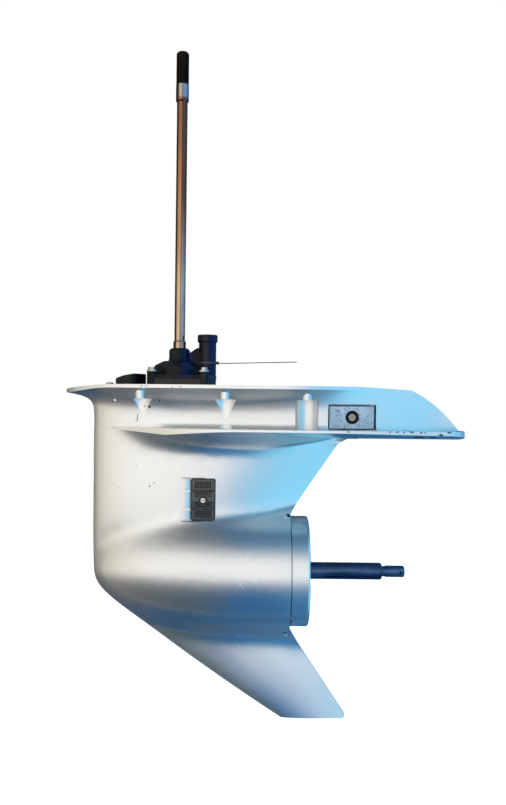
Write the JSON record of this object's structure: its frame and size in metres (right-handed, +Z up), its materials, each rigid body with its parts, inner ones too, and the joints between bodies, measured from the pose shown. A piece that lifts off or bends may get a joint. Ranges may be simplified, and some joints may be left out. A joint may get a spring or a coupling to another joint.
{
  "type": "outboard lower unit",
  "caption": "Outboard gearcase with drive shaft, water pump, bevel gears, dog clutch, shift linkage and propeller shaft.",
  "frame": {"origin": "where the drive shaft's axis meets the deck, the flat top of the gearcase", "axes": "+Z up along the drive shaft, -X forward, +X aft along the propeller shaft, +Y starboard"},
  "size_m": [0.58, 0.21, 0.9946],
  "materials": {
    "casting_paint": "silver-grey paint on cast aluminium",
    "black_plastic": "black moulded plastic",
    "tie_plastic": "dark nylon",
    "grey_plate": "dark grey anodised plate",
    "drive_shaft_steel": "stained stainless steel",
    "prop_shaft_steel": "dark oiled steel",
    "gear_steel": "case-hardened steel",
    "bearing_steel": "ground steel",
    "stainless": "stainless steel",
    "bronze": "bronze",
    "cast_aluminium": "machined aluminium",
    "black_rubber": "nitrile rubber",
    "gasket": "gasket paper",
    "zinc": "sacrificial anode alloy"
  },
  "bodies": {
    "root": {"gearcase_housing": "casting_paint", "prop_shaft_holder": "casting_paint", "holder_bolts": "stainless", "holder_o_ring": "black_rubber", "prop_shaft_seals": "black_rubber", "holder_needle_bearing": "bearing_steel", "reverse_bearing_outer": "bearing_steel", "reverse_thrust_washer": "bronze", "forward_bearing_cup": "bearing_steel", "pinion_needle_bearing": "bearing_steel", "drive_bearing_cup": "bearing_steel", "seal_housing": "cast_aluminium", "drive_shaft_seals": "black_rubber", "shift_rod_seal": "bronze", "shift_cover": "black_plastic", "shift_cover_screws": "stainless", "base_gasket": "gasket", "pump_base": "grey_plate", "wear_plate": "stainless", "impeller_liner": "stainless", "pump_housing": "black_plastic", "pump_washers": "stainless", "pump_bolts": "stainless", "water_tube_seal": "black_rubber", "cable_tie": "tie_plastic", "intake_screen_port": "black_plastic", "intake_screen_starboard": "black_plastic", "intake_screws": "stainless", "anode_port": "zinc", "anode_starboard": "zinc", "anode_bolts": "stainless", "dowel_pin": "stainless", "oil_plugs": "stainless", "plug_gaskets": "gasket"},
    "drive_shaft": {"drive_shaft": "drive_shaft_steel", "pinion_gear": "gear_steel", "pinion_nut": "gear_steel", "drive_bearing_cone": "bearing_steel", "impeller": "black_rubber", "impeller_key": "stainless"},
    "forward_gear": {"forward_gear": "gear_steel", "forward_bearing_cone": "bearing_steel"},
    "reverse_gear": {"reverse_gear": "gear_steel", "reverse_bearing_inner": "bearing_steel"},
    "prop_shaft": {"prop_shaft": "prop_shaft_steel"},
    "clutch": {"clutch_dog": "gear_steel", "clutch_cross_pin": "gear_steel", "clutch_ring_spring": "bearing_steel", "shift_spool": "gear_steel"},
    "shift_rod": {"shift_rod": "stainless"},
    "shift_slider": {"shift_slider": "gear_steel"}
  },
  "joints": [
    {"name": "drive_shaft_spin", "type": "hinge", "parent": "root", "child": "drive_shaft", "pos_m": [0, 0, 0], "axis": [0, 0, 1], "continuous": true},
    {"name": "forward_gear_spin", "type": "hinge", "parent": "root", "child": "forward_gear", "pos_m": [0, 0, -0.275], "axis": [1, 0, 0], "continuous": true},
    {"name": "reverse_gear_spin", "type": "hinge", "parent": "root", "child": "reverse_gear", "pos_m": [0, 0, -0.275], "axis": [1, 0, 0], "continuous": true},
    {"name": "prop_shaft_spin", "type": "hinge", "parent": "root", "child": "prop_shaft", "pos_m": [0, 0, -0.275], "axis": [1, 0, 0], "continuous": true},
    {"name": "shift_rod_turn", "type": "hinge", "parent": "root", "child": "shift_rod", "pos_m": [-0.078, 0, 0], "axis": [0, 0, 1], "range_deg": [-34.9, 34.9]},
    {"name": "shift_slider_slide", "type": "slide", "parent": "root", "child": "shift_slider", "axis": [1, 0, 0], "range_m": [-0.0067, 0.0067]},
    {"name": "clutch_slide", "type": "slide", "parent": "prop_shaft", "child": "clutch", "axis": [1, 0, 0], "range_m": [-0.0067, 0.0067]}
  ],
  "couplings": [
    {"joint": "forward_gear_spin", "follows": "drive_shaft_spin", "ratio": 0.5},
    {"joint": "reverse_gear_spin", "follows": "drive_shaft_spin", "ratio": -0.5},
    {"joint": "shift_slider_slide", "follows": "clutch_slide", "ratio": 1},
    {"joint": "shift_rod_turn", "follows": "clutch_slide", "rad_per_m": -90.913}
  ]
}
